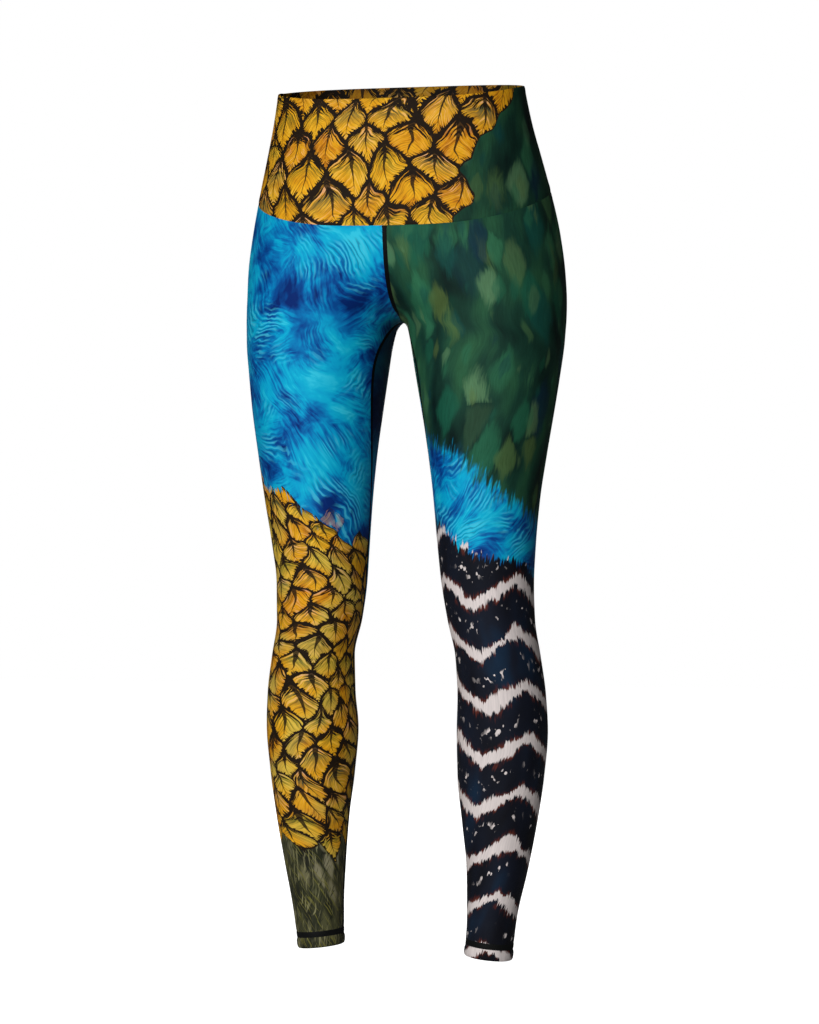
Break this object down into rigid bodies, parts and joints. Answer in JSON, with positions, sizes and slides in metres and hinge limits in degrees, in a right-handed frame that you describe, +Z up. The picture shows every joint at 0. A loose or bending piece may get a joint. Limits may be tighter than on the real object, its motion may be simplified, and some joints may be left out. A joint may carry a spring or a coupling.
{
  "type": "leggings",
  "caption": "Full-length, high-waisted leggings in printed stretch knit, filled out and hollow, with a wide folded waistband and slim tapered legs.",
  "frame": {"origin": "centre of the waist opening, level with the waistband's top edge at the sides of the body", "axes": "+Z up along the body, -Y to the garment's front, +X to the wearer's left side"},
  "size_m": [0.3507, 0.2298, 0.9637],
  "materials": {
    "band_cloth": "fine polyester and elastane knit, printed in gold and amber with dark outlines, soft sheen",
    "right_cloth": "fine polyester and elastane knit, printed in blue, turquoise, gold and green, soft sheen",
    "left_cloth": "fine polyester and elastane knit, printed in green, teal, navy and off-white, soft sheen"
  },
  "bodies": {
    "root": {"waistband_front": "band_cloth", "waistband_back": "band_cloth", "leg_right": "right_cloth", "leg_left": "left_cloth"}
  },
  "joints": []
}
